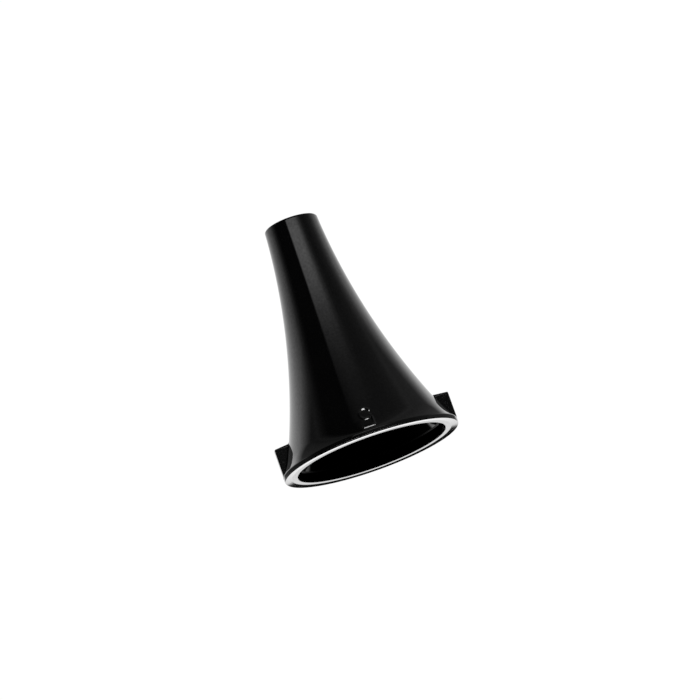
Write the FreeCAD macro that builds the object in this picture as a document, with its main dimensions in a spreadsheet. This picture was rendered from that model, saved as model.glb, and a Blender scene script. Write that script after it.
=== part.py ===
import FreeCAD, Part
import math
import os
import Sketcher

# Reusable ear speculum: the black moulded funnel that fits on the head of an otoscope.
#
# The funnel stands on its wide end. +Z runs along its axis towards the narrow tip, the origin is
# the centre of the lowest plane of the mounting rim, the two bayonet lugs are at +X and -X, and
# the raised size numeral faces -Y. All sizes are in millimetres. Heights are measured from the
# origin and radii from the axis.
#
# The real thing is one moulding. It is modelled as its working regions, each a solid of its own,
# and neighbouring regions share their joint face exactly.

FULL_TURN = 360.0
HALF_TURN = 180.0

SIZES = {
    # Mounting rim
    "rim_radius": 8.2,           # outside of the rim and of the lugs
    "bore_radius": 6.96,         # locating bore in the mouth
    "bore_depth": 1.05,          # height of the ledge at the end of the locating bore
    "ledge_radius": 6.78,        # inside edge of the ledge, where the bell's inner wall starts
    "face_radius": 7.5,          # outside edge of the flat seating face
    "face_height": 0.05,         # the seating face lies this far above the lip
    "lip_radius": 8.1,           # the lip starts here, below a gentle slope from the face
    "lip_round": 0.08,           # outer edge of the lip
    "land_top": 0.4,             # top of the short cylindrical land outside the rim
    "rim_joint_radius": 7.42,    # outside radius where the rim's flare meets the bell
    "rim_joint_height": 1.65,
    # Bell and tip
    "bell_arc": 61.4,            # one long concave arc shapes the outside of the bell
    "inner_arc": 63.0,           # and another one the inside
    "tip_joint_radius": 2.56,    # outside radius where the bell meets the straight tip
    "tip_straight": 1.0,         # length of the straight run at the tip
    "tip_radius": 2.5,           # half of the nominal size of 5 mm
    "tip_bore_radius": 2.05,
    "tip_outer_round": 0.24,
    "tip_inner_round": 0.15,
    "total_height": 22.45,
    # Bayonet lugs
    "lug_angle": 12.0,           # angle that each lug covers round the rim
    "lug_inner_top": 3.12,       # height of a lug beside the bell
    "lug_outer_top": 2.96,       # height of a lug at its outside face
    "lug_round": 0.15,           # outer top edge of a lug
    # Size numeral
    "relief": 0.1,               # height of the numeral above the bell
    "numeral_foot": 0.67,        # height of the numeral's rim side
    "numeral_top": 2.76,         # height of the numeral's tip side
    "stroke": 0.3,               # width of its strokes
    "stem_top": 1.78,            # the upright stroke runs into the bowl here
    "bowl_radius": 0.65,         # outside radius of the round stroke, half the numeral's width
    "bowl_start": 25.0,          # free end of the round stroke, as an angle from +X
    "bowl_end": 325.0,           # its end at the upright stroke
    "stroke_reach": 8.8,         # the strokes start out this long, from the axis
    "clear_radius": 9.5,         # past the ends of the long strokes
}


# Outline geometry, in the plane of (radius, height)


def arc_centre(lower, upper, radius):
    """Centre of the arc of this radius that joins two points and bulges towards the axis."""
    middle = ((lower[0] + upper[0]) / 2, (lower[1] + upper[1]) / 2)
    across = upper[0] - lower[0]
    rise = upper[1] - lower[1]
    chord = math.hypot(across, rise)
    away = math.sqrt(radius**2 - (chord / 2) ** 2)
    return (middle[0] + away * rise / chord, middle[1] - away * across / chord)


def arc_radius_at(height, centre, radius):
    """Distance from the axis of the point of such an arc at a height."""
    return centre[0] - math.sqrt(radius**2 - (height - centre[1]) ** 2)


def tangent_arc(joint, centre, end):
    """Radius of the arc that carries on from an arc about centre at joint and runs to end."""
    reach = math.hypot(centre[0] - joint[0], centre[1] - joint[1])
    across = (centre[0] - joint[0]) / reach * (end[0] - joint[0])
    along = (centre[1] - joint[1]) / reach * (end[1] - joint[1])
    chord = math.hypot(end[0] - joint[0], end[1] - joint[1])
    return chord**2 / (2 * (across + along))


def moved_towards(point, centre, step):
    """Point moved by a step towards a centre."""
    reach = math.hypot(centre[0] - point[0], centre[1] - point[1])
    return [p + (c - p) / reach * step for p, c in zip(point, centre)]


def derived_sizes(size):
    """Sizes that follow from the driving ones."""
    land = (size["rim_radius"], size["land_top"])
    rim_joint = (size["rim_joint_radius"], size["rim_joint_height"])
    tip_joint = (size["tip_joint_radius"], size["total_height"] - size["tip_straight"])
    bell = arc_centre(rim_joint, tip_joint, size["bell_arc"])
    flare_arc = tangent_arc(rim_joint, bell, land)
    flare = arc_centre(land, rim_joint, flare_arc)
    ledge = (size["ledge_radius"], size["bore_depth"])
    tip_bore = (size["tip_bore_radius"], size["total_height"])
    inside = arc_centre(ledge, tip_bore, size["inner_arc"])
    lug_top = (arc_radius_at(size["lug_inner_top"], bell, size["bell_arc"]), size["lug_inner_top"])
    skin_low = moved_towards(land, flare, size["relief"])
    skin_joint = moved_towards(rim_joint, bell, size["relief"])
    skin_top = moved_towards(lug_top, bell, size["relief"])
    return {
        "flare_arc": flare_arc,
        "tip_joint_height": tip_joint[1],
        "rim_joint_inside": arc_radius_at(rim_joint[1], inside, size["inner_arc"]),
        "tip_joint_inside": arc_radius_at(tip_joint[1], inside, size["inner_arc"]),
        "lug_inner_radius": lug_top[0],
        "skin_bell_arc": size["bell_arc"] - size["relief"],
        "skin_flare_arc": flare_arc - size["relief"],
        "skin_low_radius": skin_low[0],
        "skin_low_height": skin_low[1],
        "skin_joint_radius": skin_joint[0],
        "skin_joint_height": skin_joint[1],
        "skin_top_radius": skin_top[0],
        "skin_top_height": skin_top[1],
        "numeral_left": -size["bowl_radius"],
        "stem_left": size["bowl_radius"] - size["stroke"],
        "bar_top": size["numeral_foot"] + size["stroke"],
        "bowl_height": size["numeral_top"] - size["bowl_radius"],
        "bowl_inside": size["bowl_radius"] - size["stroke"],
    }


VALUES = {**SIZES, **derived_sizes(SIZES)}


# Document, sheet, sketches and features


def make_sheet(doc):
    """Spreadsheet with one named cell for each size."""
    sheet = doc.addObject("Spreadsheet::Sheet", "Sizes")
    for row, (name, number) in enumerate(VALUES.items(), start=1):
        sheet.set(f"A{row}", name)
        sheet.set(f"B{row}", f"{number:.6f}")
        sheet.setAlias(f"B{row}", name)
    doc.recompute()


def new_body(doc, label):
    """Empty body whose label names its file."""
    body = doc.addObject("PartDesign::Body", label)
    body.Label = label
    return body


def new_sketch(body, name):
    """Sketch on the body's XZ plane: its x is the radius and its y is the height."""
    sketch = body.newObject("Sketcher::SketchObject", name)
    plane = next(f for f in body.Origin.OriginFeatures if f.Role == "XZ_Plane")
    sketch.AttachmentSupport = (plane, [""])
    sketch.MapMode = "FlatFace"
    return sketch


def bind(sketch, kind, elements, name):
    """Add a dimension of the sketch and bind it to a cell."""
    constraint = Sketcher.Constraint(kind, *elements, VALUES[name])
    index = sketch.addConstraint(constraint)
    sketch.setExpression(f"Constraints[{index}]", f"Sizes.{name}")


def bind_corner(sketch, edge, end, corner):
    """Hold an edge's end at a corner of two cells. None puts it on the axis of that direction."""
    for kind, name, axis in zip(("DistanceX", "DistanceY"), corner, (-2, -1)):
        if name is None:
            sketch.addConstraint(Sketcher.Constraint("PointOnObject", edge, end, axis))
        else:
            bind(sketch, kind, (-1, 1, edge, end), name)


def concave_arc(start, end, radius):
    """Arc that bulges towards the axis. It runs from its upper end to its lower end."""
    lower, upper = sorted((start, end), key=lambda point: point[1])
    centre = arc_centre(lower, upper, radius)
    circle = Part.Circle(FreeCAD.Vector(*centre, 0), FreeCAD.Vector(0, 0, 1), radius)
    angles = [math.atan2(p[1] - centre[1], p[0] - centre[0]) for p in (upper, lower)]
    return Part.ArcOfCircle(circle, *[angle % (2 * math.pi) for angle in angles])


def draw_outline(sketch, corners, arcs):
    """Closed outline through corners, each a pair of cell names.

    arcs gives the radius, as a cell name, of each side that is a concave arc. Side 0 leaves the
    first corner.
    """
    points = [tuple(0.0 if name is None else VALUES[name] for name in pair) for pair in corners]
    ends = []
    for side, (start, end) in enumerate(zip(points, points[1:] + points[:1])):
        edge = Part.LineSegment(FreeCAD.Vector(*start, 0), FreeCAD.Vector(*end, 0))
        if side in arcs:
            edge = concave_arc(start, end, VALUES[arcs[side]])
        sketch.addGeometry(edge, False)
        ends.append((2, 1) if side in arcs and start[1] < end[1] else (1, 2))
    for side, corner in enumerate(corners):
        before = (side - 1) % len(corners)
        first = ends[side][0]
        last = ends[before][1]
        sketch.addConstraint(Sketcher.Constraint("Coincident", before, last, side, first))
        bind_corner(sketch, side, first, corner)
    for side, name in arcs.items():
        bind(sketch, "Radius", (side,), name)


def revolve(body, sketch, name, kind="PartDesign::Revolution"):
    """Turn a sketch once round the axis, adding or, as a groove, removing material."""
    turn = body.newObject(kind, name)
    turn.Profile = sketch
    turn.ReferenceAxis = (sketch, ["V_Axis"])
    turn.Angle = FULL_TURN
    return turn


def is_ring(edge, radius, height):
    """Whether an edge is an arc round the axis with this radius and height."""
    close = 1e-4
    if not isinstance(edge.Curve, Part.Circle):
        return False
    centre = edge.Curve.Center
    on_axis = math.hypot(centre.x, centre.y) < close
    return on_axis and abs(edge.Curve.Radius - radius) < close and abs(centre.z - height) < close


def round_edge(doc, body, feature, name, ring, size):
    """Fillet the edge that lies on a ring, given as radius and height."""
    doc.recompute()
    edges = enumerate(feature.Shape.Edges, start=1)
    found = [f"Edge{number}" for number, edge in edges if is_ring(edge, *ring)]
    if not found:
        raise RuntimeError(f"{name}: no edge to round")
    fillet = body.newObject("PartDesign::Fillet", name)
    fillet.Base = (feature, found)
    fillet.setExpression("Radius", f"Sizes.{size}")
    return fillet


def groove(doc, body, sketch, name):
    """Remove a turned region, and make sure that it really takes material away."""
    doc.recompute()
    before = body.Shape.Volume
    revolve(body, sketch, name, "PartDesign::Groove")
    doc.recompute()
    if not body.Shape.Volume < before:
        raise RuntimeError(f"{name}: the groove removes nothing")


# Sub-parts


def make_mounting_rim(doc):
    """Thick ring at the mouth: lip, seating face, locating bore, ledge and outer flare."""
    body = new_body(doc, "mounting_rim")
    sketch = new_sketch(body, "RimOutline")
    corners = [
        ("rim_radius", None),
        ("rim_radius", "land_top"),
        ("rim_joint_radius", "rim_joint_height"),
        ("rim_joint_inside", "rim_joint_height"),
        ("ledge_radius", "bore_depth"),
        ("bore_radius", "bore_depth"),
        ("bore_radius", "face_height"),
        ("face_radius", "face_height"),
        ("lip_radius", None),
    ]
    draw_outline(sketch, corners, {1: "flare_arc", 3: "inner_arc"})
    ring = revolve(body, sketch, "RimRing")
    round_edge(doc, body, ring, "LipRound", (SIZES["rim_radius"], 0.0), "lip_round")
    return body


def make_funnel_wall(doc):
    """Long bell between the rim and the tip, with a wall that thins towards the tip."""
    body = new_body(doc, "funnel_wall")
    sketch = new_sketch(body, "BellOutline")
    corners = [
        ("rim_joint_radius", "rim_joint_height"),
        ("tip_joint_radius", "tip_joint_height"),
        ("tip_joint_inside", "tip_joint_height"),
        ("rim_joint_inside", "rim_joint_height"),
    ]
    draw_outline(sketch, corners, {0: "bell_arc", 2: "inner_arc"})
    revolve(body, sketch, "Bell")
    return body


def make_tip_ring(doc):
    """Straight end of the funnel with a rounded lip: the end that enters the ear."""
    body = new_body(doc, "tip_ring")
    sketch = new_sketch(body, "TipOutline")
    corners = [
        ("tip_joint_radius", "tip_joint_height"),
        ("tip_radius", "total_height"),
        ("tip_bore_radius", "total_height"),
        ("tip_joint_inside", "tip_joint_height"),
    ]
    draw_outline(sketch, corners, {2: "inner_arc"})
    ring = revolve(body, sketch, "TipWall")
    outside = (SIZES["tip_radius"], SIZES["total_height"])
    inside = (SIZES["tip_bore_radius"], SIZES["total_height"])
    ring = round_edge(doc, body, ring, "LipOutside", outside, "tip_outer_round")
    round_edge(doc, body, ring, "LipInside", inside, "tip_inner_round")
    return body


def make_lug(doc, label, turn):
    """Bayonet lug: a plate that fills the corner between the flare and the rim's cylinder."""
    body = new_body(doc, label)
    sketch = new_sketch(body, f"Outline_{label}")
    corners = [
        ("rim_radius", "land_top"),
        ("rim_radius", "lug_outer_top"),
        ("lug_inner_radius", "lug_inner_top"),
        ("rim_joint_radius", "rim_joint_height"),
    ]
    draw_outline(sketch, corners, {2: "bell_arc", 3: "flare_arc"})
    plate = revolve(body, sketch, f"Plate_{label}")
    plate.Midplane = True
    plate.setExpression("Angle", "Sizes.lug_angle")
    corner = (SIZES["rim_radius"], SIZES["lug_outer_top"])
    round_edge(doc, body, plate, f"Corner_{label}", corner, "lug_round")
    body.Placement.Rotation = FreeCAD.Rotation(FreeCAD.Vector(0, 0, 1), turn)
    return body


def pad_outwards(body, sketch, name):
    """Pad a sketch of the XZ plane from the axis towards -Y, past the outside of the rim."""
    pad = body.newObject("PartDesign::Pad", name)
    pad.Profile = sketch
    pad.setExpression("Length", "Sizes.stroke_reach")
    return pad


def pad_straight_stroke(body, name, left, top):
    """Straight stroke of the numeral, from its rim side up and from its right edge to left."""
    sketch = new_sketch(body, f"{name}Outline")
    corners = [
        (left, "numeral_foot"),
        ("bowl_radius", "numeral_foot"),
        ("bowl_radius", top),
        (left, top),
    ]
    draw_outline(sketch, corners, {})
    pad_outwards(body, sketch, name)


def pad_bowl(body):
    """Round stroke of the numeral: most of a ring, open towards +X."""
    sketch = new_sketch(body, "BowlOutline")
    middle = FreeCAD.Vector(0, VALUES["bowl_height"], 0)
    start = math.radians(SIZES["bowl_start"])
    end = math.radians(SIZES["bowl_end"])
    radii = ("bowl_radius", "bowl_inside")
    for name in radii:
        circle = Part.Circle(middle, FreeCAD.Vector(0, 0, 1), VALUES[name])
        sketch.addGeometry(Part.ArcOfCircle(circle, start, end), False)
    for angle in (start, end):
        ray = FreeCAD.Vector(math.cos(angle), math.sin(angle), 0)
        outer, inner = (middle + ray * VALUES[name] for name in radii)
        sketch.addGeometry(Part.LineSegment(inner, outer), False)
    sketch.addConstraint(Sketcher.Constraint("Coincident", 0, 3, 1, 3))
    for arc_end, line in ((1, 2), (2, 3)):
        sketch.addConstraint(Sketcher.Constraint("Coincident", 1, arc_end, line, 1))
        sketch.addConstraint(Sketcher.Constraint("Coincident", 0, arc_end, line, 2))
    for edge, name in enumerate(radii):
        bind(sketch, "Radius", (edge,), name)
    bind_corner(sketch, 0, 3, (None, "bowl_height"))
    for line, name in ((2, "bowl_start"), (3, "bowl_end")):
        index = sketch.addConstraint(Sketcher.Constraint("Angle", line, math.radians(SIZES[name])))
        sketch.setExpression(f"Constraints[{index}]", f"Sizes.{name} * 1 deg")
    pad_outwards(body, sketch, "Bowl")


def make_size_numeral(doc):
    """Raised figure 5 on the flare, upright when the tip points down."""
    body = new_body(doc, "size_numeral")
    pad_straight_stroke(body, "Bar", "numeral_left", "bar_top")
    pad_straight_stroke(body, "Stem", "stem_left", "stem_top")
    pad_bowl(body)

    under = new_sketch(body, "UnderSkin")
    corners = [
        (None, "land_top"),
        ("rim_radius", "land_top"),
        ("rim_joint_radius", "rim_joint_height"),
        ("lug_inner_radius", "lug_inner_top"),
        (None, "lug_inner_top"),
    ]
    draw_outline(under, corners, {1: "flare_arc", 2: "bell_arc"})
    groove(doc, body, under, "CutUnder")

    over = new_sketch(body, "OverSkin")
    corners = [
        ("skin_low_radius", "skin_low_height"),
        ("skin_joint_radius", "skin_joint_height"),
        ("skin_top_radius", "skin_top_height"),
        ("clear_radius", "skin_top_height"),
        ("clear_radius", "skin_low_height"),
    ]
    draw_outline(over, corners, {0: "skin_flare_arc", 1: "skin_bell_arc"})
    groove(doc, body, over, "CutOver")
    return body


def check_document(doc, bodies):
    """Stop when any object failed or any sub-part isn't one valid solid."""
    for item in doc.Objects:
        if {"Invalid", "Error"} & set(item.State):
            raise RuntimeError(f"{item.Name}: {item.State}")
    for body in bodies:
        shape = body.Shape
        if shape.isNull() or not shape.isValid() or len(shape.Solids) != 1:
            raise RuntimeError(f"{body.Label}: not one valid solid")


def main():
    doc = FreeCAD.newDocument("ear_speculum")
    make_sheet(doc)
    bodies = [
        make_mounting_rim(doc),
        make_funnel_wall(doc),
        make_tip_ring(doc),
        make_lug(doc, "bayonet_lug_right", 0.0),
        make_lug(doc, "bayonet_lug_left", HALF_TURN),
        make_size_numeral(doc),
    ]
    doc.recompute()
    check_document(doc, bodies)
    os.makedirs("parts", exist_ok=True)
    for body in bodies:
        body.Shape.exportStep(f"parts/{body.Label}.step")
        print(f"{body.Label}: {body.Shape.Volume:.3f} mm3")


main()
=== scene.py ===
import math

import bmesh
import bpy
from mathutils import Matrix, Vector


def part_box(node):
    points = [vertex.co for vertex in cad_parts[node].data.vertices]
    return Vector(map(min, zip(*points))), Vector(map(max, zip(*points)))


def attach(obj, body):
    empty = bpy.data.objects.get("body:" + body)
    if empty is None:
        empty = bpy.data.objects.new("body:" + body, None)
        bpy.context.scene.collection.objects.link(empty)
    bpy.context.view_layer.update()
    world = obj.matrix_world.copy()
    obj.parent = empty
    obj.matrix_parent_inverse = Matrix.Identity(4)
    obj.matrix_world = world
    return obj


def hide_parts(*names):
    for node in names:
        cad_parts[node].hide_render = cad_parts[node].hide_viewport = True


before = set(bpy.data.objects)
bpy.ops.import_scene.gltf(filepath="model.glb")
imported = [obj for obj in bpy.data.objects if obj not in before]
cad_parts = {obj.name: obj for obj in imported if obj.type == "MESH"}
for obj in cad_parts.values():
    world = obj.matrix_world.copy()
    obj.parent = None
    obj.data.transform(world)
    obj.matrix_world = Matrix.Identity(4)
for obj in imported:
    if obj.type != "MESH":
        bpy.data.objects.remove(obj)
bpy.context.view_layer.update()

# Reusable ear speculum: a black moulded funnel that stands on its wide end.
# Profile sizes are in millimetres, as (radius, height) in the plane through the axis.

MM = 0.001

# Sizes that the CAD nodes' boxes give
rim_low, rim_high = (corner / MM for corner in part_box("mounting_rim"))
bell_low, bell_high = (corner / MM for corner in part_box("funnel_wall"))
tip_low, tip_high = (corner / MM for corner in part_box("tip_ring"))
RIM_RADIUS = rim_high.x
RIM_JOINT = (bell_high.x, rim_high.z)
TIP_JOINT = (tip_high.x, tip_low.z)
TOTAL_HEIGHT = tip_high.z

# Sizes of the CAD source that no box gives
BORE_RADIUS = 6.96
BORE_DEPTH = 1.05
LEDGE_RADIUS = 6.78
FACE_RADIUS = 7.5
FACE_HEIGHT = 0.05
LIP_RADIUS = 8.1
LAND_TOP = 0.4
BELL_ARC = 61.4
INNER_ARC = 63.0
TIP_RADIUS = 2.5
TIP_BORE_RADIUS = 2.05
LUG_HALF_ANGLE = math.radians(6.0)
LUG_INNER_TOP = 3.12
LUG_OUTER_TOP = 2.96
NUMERAL_FOOT = 0.67
NUMERAL_TOP = 2.76
STROKE = 0.3
STEM_TOP = 1.78
BOWL_RADIUS = 0.65
BOWL_START = math.radians(25)
BOWL_END = math.radians(325)

# Rounded edges
LIP_ROUND = 0.08
LIP_FOOT_ROUND = 0.3
LAND_ROUND = 0.15
BORE_ROUND = 0.04
BORE_END_ROUND = 0.02
FACE_EDGE_ROUND = 1.0
TIP_OUTER_ROUND = 0.24
TIP_INNER_ROUND = 0.15
LUG_ROUND = 0.1
LUG_ROOT_ROUND = 0.12
LUG_CORNER_ROUND = 0.08
LUG_ROUND_SHARE = 0.4  # a lug's edges take up no more of its depth than this
STROKE_BLEND = 0.04

# Lower sides of the numeral's strokes lean out from the axis by this angle, and are crowned by this
# share. The skin's slope below them is taken over a length of twice the step.
STROKE_LEAN = math.radians(4)
STROKE_CROWN = 0.06
SLOPE_STEP = 0.05

# Pieces that stand on the skin reach this far into it
SUNK = 0.06

# Fineness of the meshes
TURN_STEPS = 288
STROKE_CELLS = 20
SAME_POINT = 1e-4


# Outlines: lists of runs, each a list of (radius, height, normal radius, normal height). A run is
# smooth, and the outline's outside lies to the right of its direction.


def arc_centre(lower, upper, radius):
    middle = ((lower[0] + upper[0]) / 2, (lower[1] + upper[1]) / 2)
    across = upper[0] - lower[0]
    rise = upper[1] - lower[1]
    chord = math.hypot(across, rise)
    away = math.sqrt(radius**2 - (chord / 2) ** 2)
    return (middle[0] + away * rise / chord, middle[1] - away * across / chord)


def tangent_arc(joint, centre, end):
    reach = math.hypot(centre[0] - joint[0], centre[1] - joint[1])
    across = (centre[0] - joint[0]) / reach * (end[0] - joint[0])
    along = (centre[1] - joint[1]) / reach * (end[1] - joint[1])
    chord = math.hypot(end[0] - joint[0], end[1] - joint[1])
    return chord**2 / (2 * (across + along))


def line_run(start, end, count=1):
    length = math.hypot(end[0] - start[0], end[1] - start[1])
    normal = ((end[1] - start[1]) / length, (start[0] - end[0]) / length)
    shares = [i / count for i in range(count + 1)]
    return [
        (start[0] + (end[0] - start[0]) * s, start[1] + (end[1] - start[1]) * s, *normal)
        for s in shares
    ]


def arc_run(start, end, centre, count):
    radius = math.hypot(start[0] - centre[0], start[1] - centre[1])
    first = math.atan2(start[1] - centre[1], start[0] - centre[0])
    last = math.atan2(end[1] - centre[1], end[0] - centre[0])
    turn = (last - first + math.pi) % (2 * math.pi) - math.pi
    sign = 1 if turn > 0 else -1
    run = []
    for i in range(count + 1):
        angle = first + turn * i / count
        c, s = math.cos(angle), math.sin(angle)
        run.append((centre[0] + radius * c, centre[1] + radius * s, sign * c, sign * s))
    return run


def direction(point):
    """Direction of travel at a point of a run, from its normal."""
    return (-point[3], point[2])


def rounded(runs, radii, count=7):
    """Closed outline with its corner before run i rounded to radii[i]."""
    runs = [list(run) for run in runs]
    fillets = {}
    for i, size in radii.items():
        before, after = runs[i - 1], runs[i]
        corner = after[0]
        a, b = direction(before[-1]), direction(corner)
        cross = a[0] * b[1] - a[1] * b[0]
        angle = math.atan2(abs(cross), a[0] * b[0] + a[1] * b[1])
        trim = size * math.tan(angle / 2)
        side = 1 if cross > 0 else -1
        start = (corner[0] - a[0] * trim, corner[1] - a[1] * trim)
        end = (corner[0] + b[0] * trim, corner[1] + b[1] * trim)
        centre = (start[0] - side * a[1] * size, start[1] + side * a[0] * size)
        fillets[i] = arc_run(start, end, centre, count)
        while len(before) > 1 and math.dist(before[-1][:2], corner[:2]) < trim:
            before.pop()
        before.append((*start, *fillets[i][0][2:]))
        while len(after) > 1 and math.dist(after[0][:2], corner[:2]) < trim:
            after.pop(0)
        after.insert(0, (*end, *fillets[i][-1][2:]))
    outline = []
    for i, run in enumerate(runs):
        if i in fillets:
            outline.append(fillets[i])
        outline.append(run)
    return outline


BELL_CENTRE = arc_centre(RIM_JOINT, TIP_JOINT, BELL_ARC)
LAND = (RIM_RADIUS, LAND_TOP)
FLARE_ARC = tangent_arc(RIM_JOINT, BELL_CENTRE, LAND)
FLARE_CENTRE = arc_centre(LAND, RIM_JOINT, FLARE_ARC)
LEDGE = (LEDGE_RADIUS, BORE_DEPTH)
TIP_BORE = (TIP_BORE_RADIUS, TOTAL_HEIGHT)
INNER_CENTRE = arc_centre(LEDGE, TIP_BORE, INNER_ARC)


def inner_radius(height):
    return INNER_CENTRE[0] - math.sqrt(INNER_ARC**2 - (height - INNER_CENTRE[1]) ** 2)


def outer_radius(height):
    """Radius of the outside skin, from the land to the tip."""
    if height <= LAND_TOP:
        return RIM_RADIUS
    centre, radius = (FLARE_CENTRE, FLARE_ARC) if height < RIM_JOINT[1] else (BELL_CENTRE, BELL_ARC)
    return centre[0] - math.sqrt(radius**2 - (height - centre[1]) ** 2)


RIM_JOINT_INSIDE = (inner_radius(RIM_JOINT[1]), RIM_JOINT[1])
TIP_JOINT_INSIDE = (inner_radius(TIP_JOINT[1]), TIP_JOINT[1])


def rim_outline():
    foot = (RIM_RADIUS, 0.0)
    bore_top = (BORE_RADIUS, BORE_DEPTH)
    bore_foot = (BORE_RADIUS, FACE_HEIGHT)
    face_edge = (FACE_RADIUS, FACE_HEIGHT)
    lip_foot = (LIP_RADIUS, 0.0)
    runs = [
        line_run(foot, LAND),
        arc_run(LAND, RIM_JOINT, FLARE_CENTRE, 40),
        line_run(RIM_JOINT, RIM_JOINT_INSIDE),
        arc_run(RIM_JOINT_INSIDE, LEDGE, INNER_CENTRE, 6),
        line_run(LEDGE, bore_top),
        line_run(bore_top, bore_foot),
        line_run(bore_foot, face_edge, 2),
        line_run(face_edge, lip_foot),
        line_run(lip_foot, foot),
    ]
    radii = {
        0: LIP_ROUND,
        1: LAND_ROUND,
        5: BORE_END_ROUND,
        6: BORE_ROUND,
        7: FACE_EDGE_ROUND,
        8: LIP_FOOT_ROUND,
    }
    return rounded(runs, radii)


def bell_outline():
    return [
        arc_run(RIM_JOINT, TIP_JOINT, BELL_CENTRE, 150),
        line_run(TIP_JOINT, TIP_JOINT_INSIDE),
        arc_run(TIP_JOINT_INSIDE, RIM_JOINT_INSIDE, INNER_CENTRE, 120),
        line_run(RIM_JOINT_INSIDE, RIM_JOINT),
    ]


def tip_outline():
    lip = (TIP_RADIUS, TOTAL_HEIGHT)
    runs = [
        line_run(TIP_JOINT, lip, 8),
        line_run(lip, TIP_BORE),
        arc_run(TIP_BORE, TIP_JOINT_INSIDE, INNER_CENTRE, 10),
        line_run(TIP_JOINT_INSIDE, TIP_JOINT),
    ]
    return rounded(runs, {1: TIP_OUTER_ROUND, 2: TIP_INNER_ROUND}, 10)


# Meshes


def finish_piece(mesh, name, nodes, material):
    piece = bpy.data.objects.new(name, mesh)
    bpy.context.scene.collection.objects.link(piece)
    mesh.materials.append(material)
    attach(piece, "root")
    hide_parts(*nodes)
    return piece


def turned_mesh(name, runs):
    """Mesh of an outline turned once round the axis, with the outline's own normals."""
    rings = [point for run in runs for point in run[:-1]]
    angles = [2 * math.pi * step / TURN_STEPS for step in range(TURN_STEPS)]
    vertices = [
        (r * MM * math.cos(a), r * MM * math.sin(a), z * MM)
        for r, z, _, _ in rings
        for a in angles
    ]
    faces = []
    normals = []
    ring = 0
    for run in runs:
        for low, high in zip(run, run[1:]):
            above = (ring + 1) % len(rings)
            for step in range(TURN_STEPS):
                after = (step + 1) % TURN_STEPS
                faces.append(
                    (
                        ring * TURN_STEPS + step,
                        ring * TURN_STEPS + after,
                        above * TURN_STEPS + after,
                        above * TURN_STEPS + step,
                    )
                )
                for point, turn in ((low, step), (low, after), (high, after), (high, step)):
                    angle = angles[turn]
                    normals.append(
                        (point[2] * math.cos(angle), point[2] * math.sin(angle), point[3])
                    )
            ring += 1
    mesh = bpy.data.meshes.new(name)
    mesh.from_pydata(vertices, [], faces)
    mesh.polygons.foreach_set("use_smooth", [True] * len(faces))
    mesh.normals_split_custom_set(normals)
    return mesh


def closed_mesh(name, vertices, faces, normals):
    """Smooth mesh with a normal given for each vertex, without its collapsed edges and faces."""
    mesh = bpy.data.meshes.new(name)
    bm = bmesh.new()
    carried = bm.verts.layers.float_vector.new("carried")
    made = [bm.verts.new(point) for point in vertices]
    for vertex, normal in zip(made, normals):
        vertex[carried] = normal
    for face in faces:
        bm.faces.new([made[i] for i in face])
    bmesh.ops.remove_doubles(bm, verts=bm.verts, dist=SAME_POINT * MM)
    bmesh.ops.dissolve_degenerate(bm, edges=bm.edges, dist=SAME_POINT * MM)
    kept = [vertex[carried].normalized() for vertex in bm.verts]
    bm.verts.layers.float_vector.remove(carried)
    bm.to_mesh(mesh)
    bm.free()
    mesh.polygons.foreach_set("use_smooth", [True] * len(mesh.polygons))
    mesh.normals_split_custom_set_from_vertices(kept)
    return mesh


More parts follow.
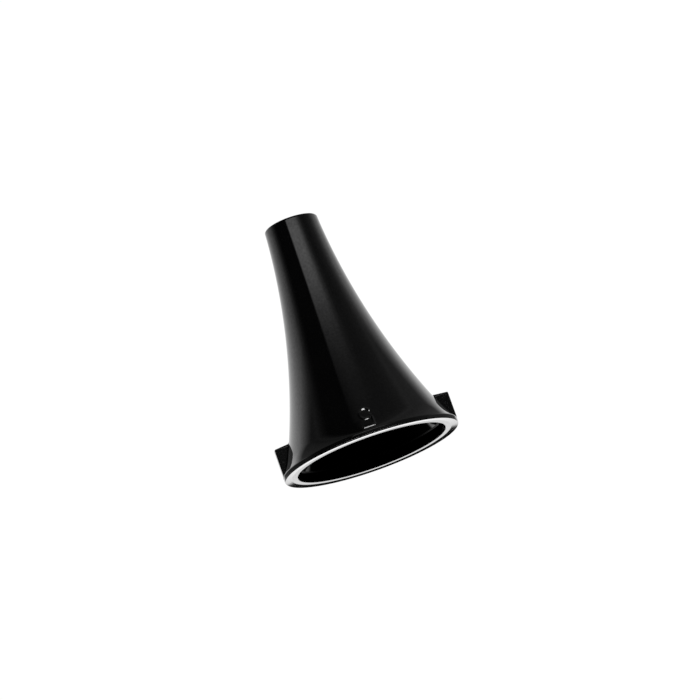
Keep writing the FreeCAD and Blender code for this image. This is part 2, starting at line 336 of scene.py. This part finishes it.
def lug_mesh(name, turn):
    """Plate on the flare at azimuth turn: filleted root, straight sides and rounded outer edges.

    A border runs up one side, along the top and down the other side. At each of its points a
    section leads from the skin, through the root fillet, up the wall and over the outer edge.
    """
    half = LUG_HALF_ANGLE * RIM_RADIUS
    lean = (LUG_INNER_TOP - LUG_OUTER_TOP) / (RIM_RADIUS - outer_radius(LUG_INNER_TOP))
    side_steps, corner_steps, top_steps, section_steps = 28, 8, 14, 7
    side_top = LUG_OUTER_TOP - LUG_CORNER_ROUND
    border = []
    for i in range(side_steps):
        height = LAND_TOP + (side_top - LAND_TOP) * i / side_steps
        border.append((-half, height, 1.0, 0.0))
    for i in range(corner_steps):
        angle = math.pi / 2 * i / corner_steps
        c, s = math.cos(angle), math.sin(angle)
        across = -half + LUG_CORNER_ROUND * (1 - c)
        border.append((across, side_top + LUG_CORNER_ROUND * s, c, -s))
    edge = half - LUG_CORNER_ROUND
    for i in range(top_steps + 1):
        border.append((-edge + 2 * edge * i / top_steps, LUG_OUTER_TOP, 0.0, -1.0))
    border += [(-a, z, -n, m) for a, z, n, m in reversed(border[: side_steps + corner_steps])]

    def place(across, height, radius, inwards):
        angle = across / RIM_RADIUS + turn
        height += lean * (RIM_RADIUS - radius) * inwards
        return (radius * math.cos(angle), radius * math.sin(angle), height)

    def heading(across, along, upright, outwards):
        angle = across / RIM_RADIUS + turn
        c, s = math.cos(angle), math.sin(angle)
        return (outwards * c - along * s, outwards * s + along * c, upright)

    vertices, normals, sections = [], [], []

    def add(point, normal):
        vertices.append([p * MM for p in point])
        normals.append(normal)
        return len(vertices) - 1

    for across, height, along, upright in border:
        depth = RIM_RADIUS - outer_radius(height)
        root = min(LUG_ROOT_ROUND, LUG_ROUND_SHARE * depth)
        shoulder = min(LUG_ROUND, LUG_ROUND_SHARE * depth)
        section = []
        for i in range(-1, section_steps + 1):
            angle = math.pi / 2 * max(i, 0) / section_steps
            inset = root * (math.sin(angle) - 1)
            level = height + inset * upright
            skin = outer_radius(level + lean * depth * -upright)
            radius = skin - SUNK if i < 0 else skin + root * (1 - math.cos(angle))
            side, out = -math.sin(angle), math.cos(angle)
            point = place(across + inset * along, level, radius, -upright)
            section.append(add(point, heading(across, side * along, side * upright, out)))
        for i in range(section_steps + 1):
            angle = math.pi / 2 * i / section_steps
            inset = shoulder * (1 - math.cos(angle))
            radius = RIM_RADIUS - shoulder * (1 - math.sin(angle))
            side, out = -math.cos(angle), math.sin(angle)
            point = place(across + inset * along, height + inset * upright, radius, -upright)
            section.append(add(point, heading(across, side * along, side * upright, out)))
        sections.append(section)

    faces = []
    for one, two in zip(sections, sections[1:]):
        for i in range(len(one) - 1):
            faces.append((one[i], one[i + 1], two[i + 1], two[i]))

    def fill(end, outwards):
        """Rows across between the two sides, at one end of the sections, up to the top row."""
        low = side_steps + corner_steps
        rows = []
        for i in range(low):
            left, right = sections[i][end], sections[-1 - i][end]
            row = [left]
            for j in range(1, top_steps):
                share = j / top_steps
                start, stop = Vector(vertices[left]) / MM, Vector(vertices[right]) / MM
                point = start.lerp(stop, share)
                radius = math.hypot(start.x, start.y)
                angle = math.atan2(point.y, point.x)
                spot = (radius * math.cos(angle), radius * math.sin(angle), point.z)
                row.append(add(spot, [outwards * math.cos(angle), outwards * math.sin(angle), 0]))
            rows.append(row + [right])
        rows.append([sections[i][end] for i in range(low, low + top_steps + 1)])
        for one, two in zip(rows, rows[1:]):
            for j in range(top_steps):
                quad = (one[j], one[j + 1], two[j + 1], two[j])
                faces.append(quad if outwards > 0 else quad[::-1])
        return rows[0]

    front = fill(-1, 1)
    back = fill(0, -1)
    for j in range(top_steps):
        faces.append((back[j], back[j + 1], front[j + 1], front[j]))
    return closed_mesh(name, vertices, faces, normals)


def stroke_depth(x, z):
    """Distance that a point of the front lies inside the numeral's strokes, blended at joins."""
    inside = STROKE / 2
    left, right = -BOWL_RADIUS + inside, BOWL_RADIUS - inside
    foot = NUMERAL_FOOT + inside
    bowl_height = NUMERAL_TOP - BOWL_RADIUS
    bar = math.hypot(x - min(max(x, left), right), z - foot)
    stem = math.hypot(x - right, z - min(max(z, foot), STEM_TOP - inside))
    angle = math.atan2(z - bowl_height, x) % (2 * math.pi)
    angle = min(max(angle, BOWL_START), BOWL_END)
    bowl = math.hypot(x - right * math.cos(angle), z - bowl_height - right * math.sin(angle))
    depth = inside - bar
    for other in (inside - stem, inside - bowl):
        share = max(STROKE_BLEND - abs(depth - other), 0.0) / STROKE_BLEND
        depth = max(depth, other) + share**2 * STROKE_BLEND / 4
    return depth


def stroke_height(x, z):
    """Height of the numeral's surface above the skin."""
    fall = outer_radius(z - SLOPE_STEP) - outer_radius(z + SLOPE_STEP)
    slope = math.tan(STROKE_LEAN) + fall / (2 * SLOPE_STEP)
    inwards = min(max(stroke_depth(x, z), 0.0), STROKE / 2)
    return slope * (inwards - inwards**2 / (2 * STROKE) * STROKE_CROWN)


def numeral_mesh(name):
    """Raised figure on the -Y side: a fine grid over the strokes, drawn in to their edge."""
    step = STROKE / STROKE_CELLS
    nudge = step / 10
    near_edge = 0.6 * step
    least_slope = 0.25
    columns = round(2 * (BOWL_RADIUS + step) / step)
    rows = round((NUMERAL_TOP - NUMERAL_FOOT + 2 * step) / step)
    grid = {}
    for i in range(columns + 1):
        for j in range(rows + 1):
            x = -BOWL_RADIUS - step + i * step
            z = NUMERAL_FOOT - step + j * step
            depth = stroke_depth(x, z)
            if abs(depth) < near_edge:
                along = (stroke_depth(x + nudge, z) - stroke_depth(x - nudge, z)) / (2 * nudge)
                up = (stroke_depth(x, z + nudge) - stroke_depth(x, z - nudge)) / (2 * nudge)
                scale = depth / max(along**2 + up**2, least_slope)
                x, z, depth = x - along * scale, z - up * scale, 0.0
            grid[i, j] = (x, z, depth)

    vertices, normals, front, back = [], [], {}, {}

    def index(key, layer, lift):
        if key not in layer:
            x, z, _ = grid[key]
            radius = outer_radius(z) + lift(x, z)
            angle = math.asin(x / radius)
            vertices.append((x * MM, -radius * math.cos(angle) * MM, z * MM))
            slope = (outer_radius(z + nudge) - outer_radius(z - nudge)) / (2 * nudge)
            rise = (lift(x, z + nudge) - lift(x, z - nudge)) / (2 * nudge) + slope
            roll = (lift(x + nudge, z) - lift(x - nudge, z)) / (2 * nudge)
            c, s = math.cos(angle), math.sin(angle)
            normals.append((s - roll * c, -c - roll * s, -rise))
            layer[key] = len(vertices) - 1
        return layer[key]

    faces = []
    borders = {}
    for i in range(columns):
        for j in range(rows):
            corners = [(i, j), (i + 1, j), (i + 1, j + 1), (i, j + 1)]
            if min(grid[c][2] for c in corners) < 0 or max(grid[c][2] for c in corners) <= 0:
                continue
            top = [index(c, front, stroke_height) for c in corners]
            under = [index(c, back, lambda x, z: -SUNK) for c in corners]
            faces += [top, under[::-1]]
            for a, b in zip(range(4), (1, 2, 3, 0)):
                pair = (corners[a], corners[b])
                if pair[::-1] in borders:
                    del borders[pair[::-1]]
                else:
                    borders[pair] = (top[b], top[a], under[a], under[b])
    faces += borders.values()
    return closed_mesh(name, vertices, faces, normals)


def node(tree, kind, inputs=(), **settings):
    """Node with its settings and inputs, where an input is a number or another node's output."""
    made = tree.nodes.new(kind)
    for name, value in settings.items():
        setattr(made, name, value)
    for key, value in dict(inputs).items():
        if isinstance(value, bpy.types.NodeSocket):
            tree.links.new(value, made.inputs[key])
        else:
            made.inputs[key].default_value = value
    return made


def math_node(tree, operation, *values):
    return node(tree, "ShaderNodeMath", dict(enumerate(values)), operation=operation).outputs[0]


def ramp(tree, value, reach, stops, top):
    """Grey value by straight runs between stops, a list of (value, level), level past both ends.

    The value lies between -reach and reach, and the levels go up to top.
    """
    inputs = {"Value": value, "From Min": -reach, "From Max": reach}
    share = node(tree, "ShaderNodeMapRange", inputs).outputs[0]
    made = node(tree, "ShaderNodeValToRGB", {"Fac": share})
    elements = made.color_ramp.elements
    places = [(at + reach) / (2 * reach) for at, _ in stops]
    elements[0].position, elements[1].position = places[0], places[-1]
    for place in places[1:-1]:
        elements.new(place)
    for element, (_, level) in zip(elements, stops):
        element.color = (level / top, level / top, level / top, 1.0)
    return math_node(tree, "MULTIPLY", made.outputs[0], top)


def noise(tree, scale, detail, roughness):
    """Cloudy noise that is fixed to the object, with about this many clouds to the metre."""
    place = node(tree, "ShaderNodeTexCoord").outputs["Object"]
    inputs = {"Vector": place, "Scale": scale, "Detail": detail, "Roughness": roughness}
    return node(tree, "ShaderNodeTexNoise", inputs).outputs[0]


def spread(tree, value, low, high):
    """Noise spread over low to high. Most of it lies between 0.3 and 0.7."""
    inputs = {"Value": value, "From Min": 0.3, "From Max": 0.7, "To Min": low, "To Max": high}
    return node(tree, "ShaderNodeMapRange", inputs).outputs[0]


def tint(tree, value, dark, light):
    made = node(tree, "ShaderNodeValToRGB", {"Fac": value})
    for element, colour in zip(made.color_ramp.elements, (dark, light)):
        element.color = (*colour, 1.0)
    return made.outputs[0]


def bump(tree, height, distance, **under):
    """Bump this many millimetres high, over another one given as Normal."""
    inputs = {"Height": height, "Strength": 1.0, "Distance": distance * MM, **under}
    return node(tree, "ShaderNodeBump", inputs).outputs[0]


# Camera: seen from below the rim's plane, with the tip leaning up to the left

CAMERA_AZIMUTH = math.radians(-4.4)
CAMERA_PLACE = Vector((-24.532, -318.819, -64.882)) * MM
CAMERA_TARGET = Vector((1.233, -0.113, 9.563)) * MM
CAMERA_ROLL = math.radians(19.623)
LENS = 188.52

camera_data = bpy.data.cameras.new("camera")
camera_data.lens = LENS
camera_data.sensor_width = 36.0
camera_data.clip_start = 0.01
camera_data.clip_end = 10.0
camera = bpy.data.objects.new("camera", camera_data)
bpy.context.scene.collection.objects.link(camera)
sight = (CAMERA_TARGET - CAMERA_PLACE).normalized()
camera.matrix_world = (
    Matrix.Translation(CAMERA_PLACE)
    @ Matrix.Rotation(CAMERA_ROLL, 4, sight)
    @ sight.to_track_quat("-Z", "Y").to_matrix().to_4x4()
)
bpy.context.scene.camera = camera


# Studio: soft light from all round. A patch is its brightness by azimuth and its share of that by
# elevation, in degrees. Azimuth 0 is the camera's side and 180 is behind the object.

AZIMUTH_REACH = 180.0
ELEVATION_REACH = 90.0
AZIMUTH_TOP = 22.0
ELEVATION_TOP = 2.0

# Pale paper on the far side: high on the left and the right, below the foot, and straight behind
PAPER_LEFT = (
    [(-135, 1.05), (-125, 0.945), (-115, 0.82), (-105, 0.68), (-95, 0.5), (-90, 0.33), (-85, 0.13),
     (-75, 0.02), (-65, 0)],
    [(12, 0), (16.5, 1), (34, 1), (43, 0)],
)
PAPER_RIGHT = (
    [(65, 0), (75, 0.02), (85, 0.05), (95, 0.12), (105, 0.4), (115, 0.7), (125, 0.76), (135, 0.9),
     (145, 1.0), (180, 1.05)],
    [(12, 0), (16.5, 1), (25, 1), (34, 0)],
)
PAPER_BELOW = (
    [(-180, 2.0), (-126, 1.5), (-98, 0.9), (-80, 0.3), (-60, 0.05), (0, 0.03), (60, 0.03),
     (80, 0.05), (98, 0.09), (126, 0.7), (150, 1.4), (180, 2.0)],
    [(-12.9, 0.01), (-12.1, 1), (-9, 1), (-7, 0)],
)
PAPER_BEHIND = (
    [(-162, 1), (-152, 0), (152, 0), (162, 1)],
    [(-9, 0), (-7, 2), (2, 2), (8, 1.2), (14, 0.9), (17, 0)],
)

# Broad light over the camera, the dim room all round, and a narrow bright lamp low over the camera
SOFTBOX = (
    [(-17.5, 0), (-13, 1), (15, 1), (25, 0.8), (35, 0.3), (45, 0.05), (55, 0)],
    [(13.5, 0), (15, 0.4), (18, 1.1), (24, 1.75), (30, 1.45), (34, 1.0), (38, 0.55), (42, 0.28),
     (46, 0.15), (50, 0.08), (56, 0.03), (64, 0)],
)
DIM_ROOM = (
    [(-180, 0.15), (-105, 0.12), (-95, 0.085), (-85, 0.12), (-75, 0.05), (-65, 0.012),
     (-15, 0.012), (5, 0.08), (65, 0.1), (85, 0.13), (95, 0.2), (105, 0.16), (180, 0.15)],
    [(-10, 0), (0, 1)],
)
STRIP_LAMP = (
    [(-75, 0), (-60, 0.5), (-48, 2.5), (-36, 8), (-24, 17), (26, 17), (38, 8), (50, 2.5),
     (62, 0.5), (77, 0)],
    [(1.5, 0), (3, 1), (7, 1), (8.5, 0)],
)

STUDIO = (PAPER_LEFT, PAPER_RIGHT, PAPER_BELOW, PAPER_BEHIND, SOFTBOX, DIM_ROOM, STRIP_LAMP)
BACKDROP = [(0, 0.95), (5, 1.02)]


def make_world():
    """Studio that lights the object, with a plain backdrop in its place where the camera looks."""
    world = bpy.data.worlds.new("studio")
    world.use_nodes = True
    tree = world.node_tree
    tree.nodes.clear()
    coords = node(tree, "ShaderNodeTexCoord").outputs["Generated"]
    inputs = {"Vector": coords, "Angle": -CAMERA_AZIMUTH}
    turned = node(tree, "ShaderNodeVectorRotate", inputs, rotation_type="Z_AXIS").outputs[0]
    axes = node(tree, "ShaderNodeSeparateXYZ", {0: turned}).outputs
    near = math_node(tree, "MULTIPLY", axes["Y"], -1.0)
    azimuth = math_node(tree, "DEGREES", math_node(tree, "ARCTAN2", axes["X"], near))
    elevation = math_node(tree, "DEGREES", math_node(tree, "ARCSINE", axes["Z"]))

    light = None
    for by_azimuth, by_elevation in STUDIO:
        brightness = ramp(tree, azimuth, AZIMUTH_REACH, by_azimuth, AZIMUTH_TOP)
        share = ramp(tree, elevation, ELEVATION_REACH, by_elevation, ELEVATION_TOP)
        patch = math_node(tree, "MULTIPLY", brightness, share)
        light = patch if light is None else math_node(tree, "ADD", light, patch)

    studio = node(tree, "ShaderNodeBackground", {"Color": light})
    plain = ramp(tree, elevation, ELEVATION_REACH, BACKDROP, ELEVATION_TOP)
    backdrop = node(tree, "ShaderNodeBackground", {"Color": plain})
    seen = node(tree, "ShaderNodeLightPath").outputs["Is Camera Ray"]
    inputs = {0: seen, 1: studio.outputs[0], 2: backdrop.outputs[0]}
    mixed = node(tree, "ShaderNodeMixShader", inputs)
    node(tree, "ShaderNodeOutputWorld", {"Surface": mixed.outputs[0]})
    bpy.context.scene.world = world


# Materials


def new_material(name):
    material = bpy.data.materials.new(name)
    material.use_nodes = True
    material.node_tree.nodes.clear()
    return material, material.node_tree


def make_plastic():
    """Near-black glossy moulded plastic."""
    material, tree = new_material("black_plastic")
    cloud = noise(tree, 450.0, 4.0, 0.6)
    grain = noise(tree, 5200.0, 3.0, 0.55)
    peel = noise(tree, 1400.0, 2.0, 0.5)
    colour = tint(tree, cloud, (0.0004, 0.0004, 0.00045), (0.0013, 0.0013, 0.00135))
    fine_bump = bump(tree, grain, 0.0008)
    wavy_bump = bump(tree, peel, 0.0005, Normal=fine_bump)
    inputs = {
        "Base Color": colour,
        "Roughness": spread(tree, grain, 0.02, 0.08),
        "IOR": 1.5,
        "Specular IOR Level": spread(tree, grain, 0.4, 0.6),
        "Normal": wavy_bump,
    }
    shader = node(tree, "ShaderNodeBsdfPrincipled", inputs)
    node(tree, "ShaderNodeOutputMaterial", {"Surface": shader.outputs[0]})
    return material


def make_paper():
    """Pale matt paper that is seen from above only, and is not mirrored in glossy surfaces."""
    material, tree = new_material("pale_floor")
    colour = tint(tree, noise(tree, 60.0, 3.0, 0.5), (0.89, 0.89, 0.885), (0.91, 0.91, 0.91))
    matt = node(tree, "ShaderNodeBsdfDiffuse", {"Color": colour, "Roughness": 0.5})
    glow = node(tree, "ShaderNodeEmission", {"Color": colour, "Strength": 0.52})
    lit = node(tree, "ShaderNodeAddShader", {0: matt.outputs[0], 1: glow.outputs[0]})
    clear = node(tree, "ShaderNodeBsdfTransparent")
    below = node(tree, "ShaderNodeNewGeometry").outputs["Backfacing"]
    glossy = node(tree, "ShaderNodeLightPath").outputs["Is Glossy Ray"]
    unseen = math_node(tree, "MAXIMUM", below, glossy)
    mixed = node(tree, "ShaderNodeMixShader", {0: unseen, 1: lit.outputs[0], 2: clear.outputs[0]})
    node(tree, "ShaderNodeOutputMaterial", {"Surface": mixed.outputs[0]})
    return material


# Floor: rings from the edge of the hole under the mouth outwards, in metres

FLOOR_RINGS = [LIP_RADIUS * MM, 0.03, 0.1, 0.4, 3.0]
FLOOR_STEPS = 128


def make_floor():
    """Round pale floor, open under the object's mouth."""
    bm = bmesh.new()
    angles = [2 * math.pi * step / FLOOR_STEPS for step in range(FLOOR_STEPS)]
    rings = [
        [bm.verts.new((radius * math.cos(a), radius * math.sin(a), 0.0)) for a in angles]
        for radius in FLOOR_RINGS
    ]
    for inner, outer in zip(rings, rings[1:]):
        for i in range(FLOOR_STEPS):
            after = (i + 1) % FLOOR_STEPS
            bm.faces.new((inner[i], outer[i], outer[after], inner[after]))
    mesh = bpy.data.meshes.new("floor")
    bm.to_mesh(mesh)
    bm.free()
    mesh.materials.append(make_paper())
    floor = bpy.data.objects.new("floor", mesh)
    bpy.context.scene.collection.objects.link(floor)


make_world()
make_floor()
plastic = make_plastic()
finish_piece(turned_mesh("rim", rim_outline()), "rim", ["mounting_rim"], plastic)
finish_piece(turned_mesh("bell", bell_outline()), "bell", ["funnel_wall"], plastic)
finish_piece(turned_mesh("tip", tip_outline()), "tip", ["tip_ring"], plastic)
finish_piece(lug_mesh("lug_right", 0.0), "lug_right", ["bayonet_lug_right"], plastic)
finish_piece(lug_mesh("lug_left", math.pi), "lug_left", ["bayonet_lug_left"], plastic)
finish_piece(numeral_mesh("numeral"), "numeral", ["size_numeral"], plastic)

bpy.context.scene.view_settings.view_transform = "Standard"
